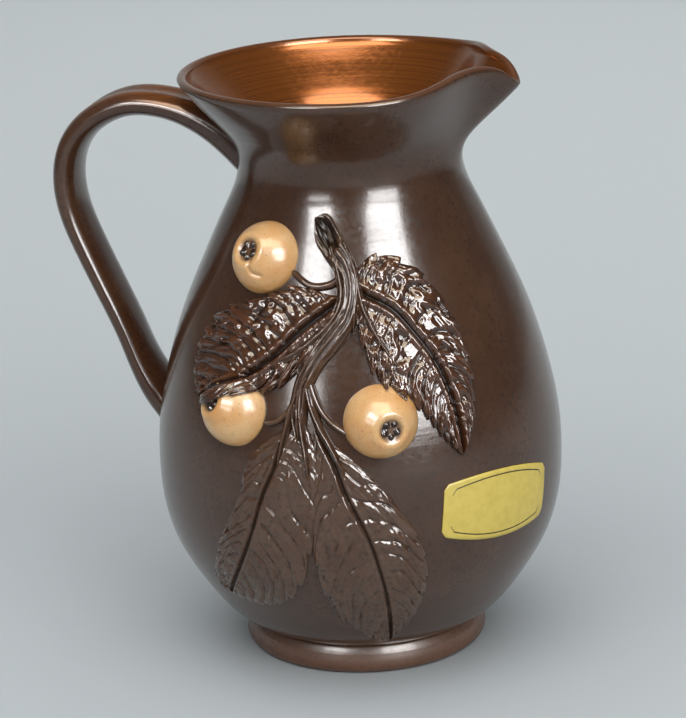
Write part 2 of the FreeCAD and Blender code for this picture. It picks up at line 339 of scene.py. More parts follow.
@dataclass(frozen=True)
class IronGlaze(Finish):
    """Iron-saturated stoneware glaze, dipped and fired to a deep gloss.

    The eye sees near-black brown where the glaze lies thick, breaking to rust where it runs thin over
    an edge, with a soft mottle, dark flecks, faint throwing rings and a fine orange-peel in its
    highlights. Glaze that pooled in a crevice is dark and shines less, and the same dark colour is
    painted as shade into the twig's hollow end and over the calyx. Inside the mouth it has fired to a
    coppery lustre with fine darker turning lines; that lustre is also painted near the top of the
    handle as a painted highlight, standing for the glints of light there.
    """

    body: str = "#42291a"
    # Dark flecks and pooled glaze, and also painted shade: the twig's hollow end and the calyx take this
    # colour through a pushed-down ridge mark.
    pool_and_shade: str = "#1d120c"
    breaking: str = "#6a4026"
    bloom: str = "#4e3424"
    # The lining's colour, also painted near the top of the handle as a painted highlight for its glints.
    lining_and_glint: str = "#8a4d18"
    lining_shade: str = "#421f10"
    lustre: float = 0.6
    roughness: float = 0.17
    roughness_spread: float = 0.07
    shine: float = 0.5
    coat: float = 0.25
    crevice_shine: float = 0.12
    # Real sizes in mm, but for the peel: the real one is about 0.3 mm, too fine to show from the camera.
    mottle: Pattern = BROAD_MOTTLE
    flecks: Pattern = Pattern(1.6, detail=3.0)
    lines: Pattern = Pattern(0.55, turned=True)
    rings: Pattern = Pattern(4.5, turned=True)
    peel: Pattern = Pattern(0.9)
    ring_depth: float = 0.06
    peel_depth: float = 0.02
    even_reach: Reach = Reach(0.35, 0.65)
    fleck_reach: Reach = Reach(0.52, 0.68, 0.4)
    line_reach: Reach = Reach(0.4, 0.75, 0.5)
    thin_reach: Reach = Reach(0.15, 0.75, 0.5)
    # From the ridge mark: pooled glaze in crevices, and the painted shade of the twig's hollow end and the
    # calyx.
    pool_and_shade_reach: Reach = Reach(-0.05, -0.7, 0.9)

    def shader(self, tree: bpy.types.NodeTree) -> bpy.types.Node:
        """Adds the glaze's nodes and returns its shader node."""
        where = add_node(tree, "TexCoord").outputs["Object"]
        height = add_node(tree, "SeparateXYZ", links={0: where}).outputs["Z"]
        mottle, flecks, peel, lines, rings = (
            add_node(tree, "TexNoise", pattern.settings(),
                     {"W": height} if pattern.turned else {"Vector": where}).outputs["Fac"]
            for pattern in (self.mottle, self.flecks, self.peel, self.lines, self.rings))
        # inside: the mouth's lining lustre, and the painted highlight near the handle's top.
        ridge, inside = (add_node(tree, "Attribute", {"attribute_name": name}).outputs["Fac"]
                         for name in ("ridge", "inside"))
        roughest = self.roughness + self.roughness_spread
        rough_reach = replace(self.even_reach, least=self.roughness, most=roughest)
        # thick carries both the pooled glaze and the painted shade of the twig's hollow end and the calyx.
        even, dark, band, thin, thick, rough = (
            add_node(tree, "MapRange", reach.settings(), {0: value}).outputs[0]
            for reach, value in ((self.even_reach, mottle), (self.fleck_reach, flecks),
                                 (self.line_reach, lines), (self.thin_reach, ridge),
                                 (self.pool_and_shade_reach, ridge), (rough_reach, flecks)))
        shine, coat = (
            add_node(tree, "MapRange", Reach(0.0, self.pool_and_shade_reach.most, pooled, clean).settings(),
                     {0: thick}).outputs[0]
            for clean, pooled in ((self.shine, self.crevice_shine), (self.coat, 0.0)))
        lining_and_glint = layered(tree, self.lining_and_glint, (band, self.lining_shade))
        colour = layered(tree, self.body, (even, self.bloom), (dark, self.pool_and_shade), (thin, self.breaking),
                         (thick, self.pool_and_shade), (inside, lining_and_glint))
        metal = add_node(tree, "Math", {"operation": "MULTIPLY", 1: self.lustre}, {0: inside}).outputs[0]
        turned = add_node(tree, "Bump", {"Strength": 1.0, "Distance": self.ring_depth * MILLIMETRE},
                          {"Height": rings}).outputs["Normal"]
        normal = add_node(tree, "Bump", {"Strength": 1.0, "Distance": self.peel_depth * MILLIMETRE},
                          {"Height": peel, "Normal": turned}).outputs["Normal"]
        return add_node(tree, "BsdfPrincipled", {"IOR": 1.52, "Coat Roughness": 0.1, "Coat IOR": 1.5},
                        {"Base Color": colour, "Roughness": rough, "Metallic": metal, "Normal": normal,
                         "Specular IOR Level": shine, "Coat Weight": coat})


@dataclass(frozen=True)
class FruitGlaze(Finish):
    """Pale peach slip under a clear glaze, brushed on the fruits.

    The eye sees warm cream with an orange blush where the slip lies thick and fine brown iron specks.
    A brown painted shade darkens the basin round the flower end, the crease, and the foot where the
    fruit meets the wall.
    """

    skin: str = "#e8bb82"
    blush: str = "#dda263"
    speck: str = "#8a5a34"
    # Painted shade: the basin round the flower end, the crease and the fruit's foot against the wall are
    # darkened with this colour.
    painted_shade: str = "#5a3a25"
    clouds: Pattern = Pattern(9.0, detail=3.0)
    specks: Pattern = Pattern(0.7, detail=1.0)
    blush_reach: Reach = Reach(0.4, 0.7)
    speck_reach: Reach = Reach(0.64, 0.74, 0.45)
    painted_shade_reach: Reach = Reach(-0.1, -1.0)
    speck_depth: float = 0.04

    def shader(self, tree: bpy.types.NodeTree) -> bpy.types.Node:
        """Adds the slip's nodes and returns its shader node."""
        where = add_node(tree, "TexCoord").outputs["Object"]
        clouds, specks = (add_node(tree, "TexNoise", pattern.settings(), {"Vector": where}).outputs["Fac"]
                          for pattern in (self.clouds, self.specks))
        ridge = add_node(tree, "Attribute", {"attribute_name": "ridge"}).outputs["Fac"]
        # edge is the share of painted shade, read from the ridge mark.
        warm, dark, edge = (add_node(tree, "MapRange", reach.settings(), {0: value}).outputs[0]
                            for reach, value in ((self.blush_reach, clouds), (self.speck_reach, specks),
                                                 (self.painted_shade_reach, ridge)))
        colour = layered(tree, self.skin, (warm, self.blush), (dark, self.speck), (edge, self.painted_shade))
        normal = add_node(tree, "Bump", {"Strength": 0.6, "Distance": self.speck_depth * MILLIMETRE},
                          {"Height": specks}).outputs["Normal"]
        return add_node(tree, "BsdfPrincipled",
                        {"Roughness": 0.3, "IOR": 1.5, "Coat Weight": 0.35, "Coat Roughness": 0.12},
                        {"Base Color": colour, "Normal": normal})


@dataclass(frozen=True)
class PrintedPaper(Finish):
    """Coated yellow label paper, printed and stuck on.

    The eye sees a flat, slightly satin yellow with a faint, slightly deeper cloud of paper fibres.
    """

    face: str = "#e0c862"
    shade: str = "#c9ac45"
    # Clouds of fibres, 3 mm across: single fibres are too fine to show.
    fibres: Pattern = Pattern(3.0, detail=5.0)
    fibre_reach: Reach = Reach(0.4, 0.75, 0.5)
    fibre_depth: float = 0.03

    def shader(self, tree: bpy.types.NodeTree) -> bpy.types.Node:
        """Adds the paper's nodes and returns its shader node."""
        where = add_node(tree, "TexCoord").outputs["Object"]
        fibres = add_node(tree, "TexNoise", self.fibres.settings(), {"Vector": where}).outputs["Fac"]
        cloud = add_node(tree, "MapRange", self.fibre_reach.settings(), {0: fibres}).outputs[0]
        normal = add_node(tree, "Bump", {"Strength": 0.3, "Distance": self.fibre_depth * MILLIMETRE},
                          {"Height": fibres}).outputs["Normal"]
        return add_node(tree, "BsdfPrincipled", {"Roughness": 0.38, "IOR": 1.46},
                        {"Base Color": layered(tree, self.face, (cloud, self.shade)), "Normal": normal})


@dataclass(frozen=True)
class StudioPaper(Finish):
    """Matt background paper, rolled under and behind the jug.

    The eye sees a pale ground without gloss. It is painted a little deeper on the floor near the jug and
    paler far behind it, as painted shade for how the light falls on the floor and the back wall.
    """

    face: str = "#dfe5e6"
    # Painted shade: the floor near the jug takes this deeper colour, fading to the face colour far off.
    floor: str = "#b5bbbe"
    blend: Reach = Reach(100.0 * MILLIMETRE, 1100.0 * MILLIMETRE)

    def shader(self, tree: bpy.types.NodeTree) -> bpy.types.Node:
        """Adds the background's shader node and returns it."""
        where = add_node(tree, "TexCoord").outputs["Object"]
        away = add_node(tree, "SeparateXYZ", links={0: where}).outputs["Y"]
        far = add_node(tree, "MapRange", self.blend.settings(), {0: away}).outputs[0]
        return add_node(tree, "BsdfPrincipled", {"Roughness": 0.9, "Specular IOR Level": 0.1},
                        {"Base Color": layered(tree, self.floor, (far, self.face))})


class Glaze(Enum):
    """The jug's finishes, named for the real materials."""

    WALL = IronGlaze("iron_glaze_wall")
    # Painted light: the foot's glaze is painted lighter than the wall's, standing for the floor's reflection
    # in its satin sheen.
    FOOT = IronGlaze("iron_glaze_foot", body="#6b4835", bloom="#76543f", roughness=0.33, ring_depth=0.03)
    HANDLE = IronGlaze("iron_glaze_handle", body="#46291a", breaking="#8a5428", roughness=0.16,
                       ring_depth=0.0, peel_depth=0.015)
    CREASED = IronGlaze("iron_glaze_creased_leaf", body="#392316", bloom="#482a18", roughness=0.12,
                        roughness_spread=0.06, coat=0.5, ring_depth=0.0, mottle=LEAF_MOTTLE)
    RELIEF = IronGlaze("iron_glaze_relief", body="#4f3525", bloom="#5a4232", roughness=0.15, ring_depth=0.0,
                       mottle=LEAF_MOTTLE, thin_reach=Reach(0.3, 1.0, 0.5))
    CALYX = IronGlaze("iron_glaze_calyx", body="#22140e", bloom="#32201a", ring_depth=0.0,
                      mottle=replace(BROAD_MOTTLE, size=2.0))
    FRUIT = FruitGlaze("peach_slip_glaze")
    LABEL = PrintedPaper("coated_label_paper")
    INK = PrintedPaper("label_border_ink", face="#3c3116", shade="#2d2410")
    STUDIO = StudioPaper("studio_background_paper")


def dress(piece: bpy.types.Object, finish: Glaze, slot: str, *nodes: str) -> None:
    """Gives a piece its finish and its place on the jug.

    Args:
        piece: The piece.
        finish: Its finish.
        slot: The record's material slot. Not used.
        nodes: The nodes that it stands for, if any.
    """
    piece.data.materials.append(finish.value.material())
    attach(piece, "root")
    if nodes:
        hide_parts(*nodes)
    log.info("%s: %d points, stands for %s", piece.name, len(piece.data.vertices),
             ", ".join(nodes) or "nothing")


@dataclass
class ThrownWall:
    """The thrown wall with its pulled lip, and the ground that every applied piece lies on."""

    rim_height: float = 194.0
    rim_radius: float = 55.5
    lip_thickness: float = 3.4
    neck_radius: float = 37.0
    neck_height: float = 164.0
    belly_radius: float = 67.6
    belly_height: float = 65.0
    base_radius: float = 38.5
    foot_height: float = 9.5
    wall_thickness: float = 5.0
    floor_thickness: float = 6.0
    lip_depth: float = 34.0
    throat_pinch: float = 6.8
    throat_rise: float = 3.5
    throat_angle: float = 25.0
    throat_spread: float = 26.0
    tip_reach: float = 6.6
    tip_spread: float = 11.0
    tip_drop: float = 6.0
    tip_drop_spread: float = 7.0
    pull_power: float = 1.5
    glaze_allowance: float = 0.12
    inside_start: float = 1.5
    taper_length: float = 9.0
    floor_corner: tuple[float, float, int] = (15, 90, 6)
    lustre_row: int = 5
    worn_rows: tuple[int, int] = (2, 7)
    rim_wear: float = 0.7
    outline_points: int = 600
    outline_step: int = 5
    lip_rows: int = 13
    inside_rows: int = 70
    columns: int = 288
    base_shares: tuple[float, ...] = (0.05, 0.5, 0.9)
    floor_shares: tuple[float, ...] = (0.7, 0.35, 0.05)
    lower_shares: Places = ((0.05, 0.17), (0.28, 0.56), (0.56, 0.86), (0.84, 0.985))
    upper_shares: Places = ((0.12, 0.985), (0.32, 0.865), (0.52, 0.665), (0.72, 0.385), (0.87, 0.155))
    mouth_shares: Places = ((0.28, 0.06), (0.45, 0.24), (0.62, 0.48), (0.8, 0.74))
    table: np.ndarray = field(init=False)

    def __post_init__(self) -> None:
        """Reads the outline once, as a table of radius and height."""
        stops = ((self.base_radius, self.foot_height), (self.belly_radius, self.belly_height),
                 (self.neck_radius, self.neck_height), (self.rim_radius, self.rim_height))
        points = [stops[0]]
        for below, above, shares in zip(stops, stops[1:],
                                        (self.lower_shares, self.upper_shares, self.mouth_shares)):
            narrow, wide = sorted((below[0], above[0]))
            points += [(narrow + swell * (wide - narrow), below[1] + rise * (above[1] - below[1]))
                       for rise, swell in shares]
            points.append(above)
        self.table = spline(points, np.linspace(0, 1, self.outline_points))

    def radius(self, height: Any) -> np.ndarray:
        """The outside radius at a height."""
        return np.interp(height, self.table[:, 1], self.table[:, 0])

    def slope(self, height: Any) -> np.ndarray:
        """How fast the outside radius grows with height."""
        height, probe = np.asarray(height), 0.5
        return (self.radius(height + probe) - self.radius(height - probe)) / (2 * probe)

    def place(self, angle: Any, height: Any, lift: Any) -> np.ndarray:
        """Points over the wall.

        Args:
            angle: Angles round the jug.
            height: Heights on the wall's outside.
            lift: Distances out of the wall.

        Returns:
            Points, with x, y and z in the last axis.
        """
        slope = self.slope(height)
        size = np.sqrt(1 + slope ** 2)
        return around(self.radius(height) + lift / size, np.radians(angle), height - lift * slope / size)

    def pulled_rings(self, radii: np.ndarray, heights: np.ndarray) -> np.ndarray:
        """Rings round the jug, drawn towards the pouring lip the higher they lie.

        Args:
            radii: Each ring's radius.
            heights: Each ring's height.

        Returns:
            Rings of points, as rings, columns and coordinates.
        """
        turns = turns_round(self.columns)
        off_lip = (np.degrees(turns) + 180) % 360 - 180
        throat = hump(off_lip - self.throat_angle, self.throat_spread)
        throat = throat + hump(off_lip + self.throat_angle, self.throat_spread)
        pull = np.clip(1 - (self.rim_height - heights) / self.lip_depth, 0, None)[:, None] ** self.pull_power
        reach = hump(off_lip, self.tip_spread) * self.tip_reach - throat * self.throat_pinch
        rise = throat * self.throat_rise - hump(off_lip, self.tip_drop_spread) * self.tip_drop
        return around(radii[:, None] + pull * reach - self.glaze_allowance, turns,
                      heights[:, None] + pull * rise)

    def build(self) -> None:
        """Makes the wall, its lip, its inside and its floor as one closed skin."""
        outside = self.table[::self.outline_step]
        lip_round = self.lip_thickness / 2
        turns = np.radians(np.linspace(0, 180, self.lip_rows))
        lip = stacked(self.rim_radius - lip_round + lip_round * np.cos(turns),
                      self.rim_height - self.glaze_allowance + lip_round * np.sin(turns))
        floor_height = self.foot_height + self.floor_thickness
        heights = np.linspace(self.rim_height - self.inside_start, floor_height + self.wall_thickness,
                              self.inside_rows)
        taper = hump(self.rim_height - heights, self.taper_length)
        thick = self.wall_thickness + (self.lip_thickness - self.wall_thickness) * taper
        inside = stacked(self.radius(heights) - thick, heights)
        corner = np.radians(np.linspace(*self.floor_corner))
        inner = inside[-1, 0]
        round_in = stacked(inner - self.wall_thickness * (1 - np.cos(corner)),
                           floor_height + self.wall_thickness * (1 - np.sin(corner)))
        floor = np.array([(inner * share, floor_height) for share in self.floor_shares])
        base = np.array([(self.base_radius * share, self.foot_height) for share in self.base_shares])
        profile = np.vstack([base, outside, lip[1:], inside, round_in, floor])
        rings = self.pulled_rings(profile[:, 0], profile[:, 1])
        lip_start = len(base) + len(outside)
        lining_start = lip_start + len(lip) - 1
        lustre = np.zeros(len(profile))
        first = lip_start + self.lustre_row
        lustre[first:lining_start] = np.linspace(0.1, 1.0, lining_start - first)
        lustre[lining_start:] = 1.0
        ridge = np.zeros(len(profile))
        ridge[lip_start + self.worn_rows[0]:lip_start + self.worn_rows[1]] = self.rim_wear
        piece = tube("jug_wall", rings, {"inside": np.tile(lustre[:, None], self.columns),
                                         "ridge": np.tile(ridge[:, None], self.columns)})
        dress(piece, Glaze.WALL, "brown_glaze", "body")


@dataclass
class FootRing:
    """The turned ring that the jug stands on, luted under the base and fettled round."""

    height: float = 9.5
    radius: float = 40.6
    bore_radius: float = 32.0
    edge_radius: float = 3.2
    base_radius: float = 38.5
    waist: float = 0.7
    waist_shares: tuple[float, ...] = (0.3, 0.6, 0.85, 1.0)
    seat: Places = ((0.3, 0.4), (0.9, 0.0))
    top_round: tuple[float, float] = (0.3, 0.5)
    worn_rows: tuple[int, int] = (8, 14)
    wear: float = 0.5
    columns: int = 240

    def build(self) -> None:
        """Makes the ring by turning its section."""
        section = [(self.bore_radius, self.height), (self.bore_radius, self.height / 2)]
        section += [(self.bore_radius + out, level) for out, level in self.seat]
        for turn in np.radians(np.linspace(0, 90, 9)):
            section.append((self.radius - self.edge_radius * (1 - math.sin(turn)),
                            self.edge_radius * (1 - math.cos(turn))))
        top = self.height - (self.radius - self.base_radius)
        for share in self.waist_shares:
            section.append((self.radius - self.waist * math.sin(math.pi * share / 2) ** 2 * share,
                            self.edge_radius + share * (top - self.edge_radius)))
        section.append((self.base_radius + self.top_round[0], self.height - self.top_round[1]))
        section.append((self.base_radius, self.height))
        turns = turns_round(self.columns)
        radii, levels = np.array(section).T[..., None]
        rings = around(radii, turns, levels)
        ridge = np.zeros(rings.shape[:2])
        ridge[slice(*self.worn_rows)] = self.wear
        points = rings.reshape(-1, 3)
        faces = grid_faces(len(section), self.columns, True)
        last = (len(section) - 1) * self.columns
        for column in range(self.columns):
            after = (column + 1) % self.columns
            faces.append((last + column, last + after, after, column))
        piece = make_object("turned_foot_ring", points, faces, {"ridge": ridge})
        turn_outward(piece)
        dress(piece, Glaze.FOOT, "brown_glaze", "foot_ring")


@dataclass
class StrapHandle:
    """The pulled strap with a groove along its outer face, thumbed onto the neck and the belly.

    The glaze is thin along the two crests beside the groove and thick in it. Near the top of the outer
    face a coppery lustre is painted as a painted highlight, standing for the glints of light there.
    """

    wall: ThrownWall
    width: float = 21.0
    thickness: float = 10.0
    end_thickness: float = 8.0
    groove_depth: float = 1.5
    reach: float = 59.45
    top_height: float = 184.2
    foot_height: float = 88.0
    crest_shares: Places = ((-0.1, 0.0), (0.07, 0.5), (0.25, 0.82), (0.45, 0.98), (0.62, 0.98), (0.77, 0.82),
                            (0.89, 0.55), (0.97, 0.18))
    fall_shares: Places = ((0.98, 0.93), (0.87, 0.78), (0.69, 0.61), (0.465, 0.41), (0.28, 0.225),
                           (0.14, 0.06), (0.0, -0.08), (-0.13, -0.2))
    squareness: float = 0.92
    groove_share: float = 0.4
    root_flare: float = 2.4
    flare_length: float = 9.0
    crest_place: float = 0.62
    crest_width: float = 0.16
    crest_start: float = 0.2
    crest_wear: float = 0.6
    groove_pool: float = 0.5
    groove_pool_width: float = 0.15
    # Painted highlight: where and how strongly the coppery lustre is painted near the handle's top, standing
    # for glints of light.
    glint_place: float = 0.2
    glint_length: float = 0.06
    glint_strength: float = 0.9
    rows: int = 220
    columns: int = 72

    def path(self) -> list[tuple[float, float]]:
        """The strap's middle line as distances from the axis and heights."""
        points = []
        for out, rise in self.crest_shares:
            points.append((self.wall.neck_radius + out * self.reach,
                           self.wall.neck_height + rise * (self.top_height - self.wall.neck_height)))
        for out, rise in self.fall_shares:
            height = self.foot_height + rise * (self.wall.neck_height - self.foot_height)
            points.append((float(self.wall.radius(height)) + out * self.reach, height))
        return points

    def build(self) -> None:
        """Sweeps the grooved section along the middle line."""
        shares = np.linspace(0, 1, self.rows)
        line = spline(self.path(), shares)
        ahead = headings(line)
        stand = line[:, 0] - self.wall.radius(line[:, 1])
        turns = turns_round(self.columns)
        across, out = (np.sign(wave) * np.abs(wave) ** self.squareness
                       for wave in (np.cos(turns), np.sin(turns)))
        groove = self.groove_depth * hump(across, self.groove_share) * (out > 0) * np.abs(out)
        rings, ridges, painted_glints = [], [], []
        for row, share in enumerate(shares):
            flare = self.root_flare * hump(max(stand[row], 0.0), self.flare_length)
            thickness = self.thickness + share * (self.end_thickness - self.thickness) + flare
            outward = np.array([-ahead[row, 1], ahead[row, 0]])
            offset = out * thickness / 2 - groove
            radius = line[row, 0] + outward[0] * offset
            height = line[row, 1] + outward[1] * offset
            rings.append(stacked(-radius, across * (self.width + flare) / 2, height))
            worn = hump(np.abs(across) - self.crest_place, self.crest_width) * (out > self.crest_start)
            pooled = hump(across, self.groove_pool_width) * (out > 0)
            ridges.append(worn * self.crest_wear - self.groove_pool * pooled)
            # Painted highlight: a coppery lustre patch near the top of the outer face, standing for the
            # glints there.
            painted_glints.append(hump(share - self.glint_place, self.glint_length) * np.clip(out, 0, 1) * self.glint_strength)
        piece = tube("strap_handle", np.array(rings), {"ridge": np.array(ridges), "inside": np.array(painted_glints)})
        dress(piece, Glaze.HANDLE, "brown_glaze", "handle")


@dataclass
class Fruit:
    """A round applied fruit with a flower end set in a basin."""

    wall: ThrownWall
    name: str
    angle: float
    height: float
    lean: float
    lean_turn: float
    crease: Places = ()
    radius: float = 12.0
    rise: float = 9.6
    calyx_radius: float = 3.6
    calyx_sink: float = 0.4
    calyx_grain: float = 0.2
    calyx_grain_size: float = 1.2
    calyx_start: float = 0.03
    calyx_lift: float = 0.2
    sepals: int = 5
    sepal_reach: float = 0.95
    sepal_notch: float = 0.08
    sepal_skew: float = 0.4
    sepal_height: float = 1.15
    sepal_place: float = 1.6
    sepal_bulge: float = 0.8
    lobe_depth: float = 0.4
    lobe_skew: float = 0.6
    lobe_wear: float = 0.5
    calyx_shade: float = 0.1
    basin_margin: float = 0.3
    basin_depth: float = 1.6
    basin_round: float = 0.035
    rim_swell: float = 0.35
    rim_place: float = 1.45
    rim_width: float = 0.12
    wobble: float = 0.014
    wobble_size: float = 9.0
    crease_depth: float = 0.055
    crease_width: float = 0.07
    crease_shade: float = 0.3
    crease_shade_width: float = 0.05
    basin_shade: float = 0.95
    basin_shade_place: float = 1.02
    basin_shade_blur: float = 0.02
    foot_shade: float = 0.9
    foot_shade_width: float = 0.7
    sink: float = 0.3
    far_below: float = -9.0
    pole_gap: float = 0.02
    crease_points: int = 40
    rows: int = 96
    columns: int = 128
    calyx_rows: int = 18
    calyx_columns: int = 80

    def lift_over(self, angle: np.ndarray, height: np.ndarray) -> np.ndarray:
        """How far the fruit stands out of the wall at some places, and far below it where it isn't."""
        sideways = np.radians(angle - self.angle) * self.wall.radius(self.height)
        along = (height - self.height) * np.sqrt(1 + self.wall.slope(self.height) ** 2)
        apart = sideways ** 2 + along ** 2
        over = self.rise - self.radius + np.sqrt(np.maximum(self.radius ** 2 - apart, 0))
        return np.where(apart < self.radius ** 2, over, self.far_below)

    def frame(self) -> tuple[np.ndarray, np.ndarray]:
        """The fruit's centre and its axes as columns, with the flower end along the last."""
        centre = self.wall.place(self.angle, self.height, self.rise - self.radius)
        square = self.wall.place(self.angle, self.height, 1.0) - self.wall.place(self.angle, self.height, 0.0)
        side = np.array([-math.sin(math.radians(self.angle)), math.cos(math.radians(self.angle)), 0.0])
        up = np.cross(square, side)
        lean, turn = math.radians(self.lean), math.radians(self.lean_turn)
        pole = square * math.cos(lean) + (side * math.cos(turn) + up * math.sin(turn)) * math.sin(lean)
        first = np.cross(side, pole)
        first /= np.linalg.norm(first)
        return centre, np.column_stack([first, np.cross(pole, first), pole])

    def build(self) -> None:
        """Makes the fruit and its dried flower end."""
        centre, axes = self.frame()
        polar = np.linspace(self.pole_gap, math.pi - self.pole_gap, self.rows)[:, None]
        turn = turns_round(self.columns)[None, :]
        basin = math.asin((self.calyx_radius + self.basin_margin) / self.radius)
        size = self.radius - self.basin_depth / (1 + np.exp((polar - basin) / self.basin_round))
        size = size + self.rim_swell * hump(polar - basin * self.rim_place, self.rim_width)
        ball = around(size * np.sin(polar), turn, size * np.cos(polar))
        ball *= 1 + self.wobble * grain(ball + self.angle, (self.wobble_size,) * 3)[..., None]
        # Painted shade: the basin, the crease and the foot against the wall are marked down here, and the
        # slip glaze paints them dark.
        beyond = (polar - basin * self.basin_shade_place) / self.basin_shade_blur
        ridge = -self.basin_shade / (1 + np.exp(beyond))
        if self.crease:
            off, way = np.radians(np.array(self.crease)).T
            shares = np.linspace(0, 1, self.crease_points)
            line = spline(stacked(off * np.cos(way), off * np.sin(way)), shares)
            spot = stacked(polar * np.cos(turn), polar * np.sin(turn))
            apart = np.min(np.linalg.norm(spot[:, :, None, :] - line, axis=-1), axis=-1)
            ball *= (1 - self.crease_depth * hump(apart, self.crease_width))[..., None]
            ridge = ridge - self.crease_shade * hump(apart, self.crease_shade_width)
        points = ball @ axes.T + centre
        flat = np.hypot(points[..., 0], points[..., 1])
        least = self.wall.radius(points[..., 2]) - self.sink
        points[..., :2] *= np.where(flat < least, least / flat, 1.0)[..., None]
        ridge = ridge - self.foot_shade * hump(np.maximum(flat - least, 0), self.foot_shade_width)
        piece = tube("slipped_fruit_" + self.name, points, {"ridge": ridge})
        dress(piece, Glaze.FRUIT, "fruit_glaze", "fruit_" + self.name, "calyx_" + self.name)
        self.build_calyx(centre, axes)

    def build_calyx(self, centre: np.ndarray, axes: np.ndarray) -> None:
        """Makes the star of dried sepals that stands in the basin.

        Args:
            centre: The fruit's centre.
            axes: The fruit's axes, as columns.
        """
        floor = math.sqrt(self.radius ** 2 - (self.calyx_radius + self.basin_margin) ** 2) - self.basin_depth
        out = np.linspace(self.calyx_start, 1, self.calyx_rows)[:, None]
        turn = turns_round(self.calyx_columns)[None, :]
        points = self.sepals * turn
        star = self.sepal_reach + self.sepal_notch * np.cos(points + self.sepal_skew * np.sin(turn))
        lobes = np.cos(points + self.lobe_skew * np.sin(2 * turn))
        lobes = 1 - self.lobe_depth + self.lobe_depth * lobes
        arch = np.sin(math.pi * out ** self.sepal_place) ** self.sepal_bulge
        rise = self.calyx_lift + self.sepal_height * arch * lobes
        top = around(self.calyx_radius * out * star, turn, floor + rise)
        top[..., 2] += self.calyx_grain * grain(top, (self.calyx_grain_size,) * 3)
        foot = top[-1:].copy()
        foot[..., 2] = floor - self.calyx_sink
        rings = np.concatenate([top, foot], axis=0) @ axes.T + centre
        # Sepal tips rubbed lighter; calyx_shade darkens the whole star as painted shade, and the foot row
        # takes the darkest colour.
        worn = np.cos(points) * out * self.lobe_wear - self.calyx_shade
        ridge = np.vstack([worn, -np.ones_like(turn)])
        piece = tube("dried_calyx_" + self.name, rings, {"ridge": ridge})
        dress(piece, Glaze.CALYX, "calyx_glaze")


@dataclass
class Applique:
    """Clay laid on the wall as a grid of places with a lift at each, closed at its back."""

    wall: ThrownWall
    back: float = -0.2
    back_ridge: float = -0.8

    def lay(self, name: str, angle: np.ndarray, height: np.ndarray, lift: np.ndarray,
            ridge: np.ndarray) -> bpy.types.Object:
        """Makes a closed piece from a grid.

        Args:
            name: The piece's name.
            angle: The grid's angles.
            height: The grid's heights.
            lift: How far the clay's face stands out at each place.
            ridge: How high each place stands beside its neighbours, from -1 to 1.

        Returns:
            The new object.
        """
        rows, columns = angle.shape
        face = self.wall.place(angle, height, lift).reshape(-1, 3)
        back = self.wall.place(angle, height, np.full_like(lift, self.back)).reshape(-1, 3)
        count = rows * columns
        faces = grid_faces(rows, columns, False) + grid_faces(rows, columns, False, count)
        edge = list(range(columns))
        edge += [row * columns + columns - 1 for row in range(1, rows)]
        edge += [(rows - 1) * columns + column for column in range(columns - 2, -1, -1)]
        edge += [row * columns for row in range(rows - 2, 0, -1)]
        for here, after in zip(edge, edge[1:] + edge[:1]):
            faces.append((here, after, count + after, count + here))
        marks = np.concatenate([ridge.ravel(), np.full(count, self.back_ridge)])
        piece = make_object(name, np.vstack([face, back]), faces, {"ridge": marks})
        turn_outward(piece)
        return piece


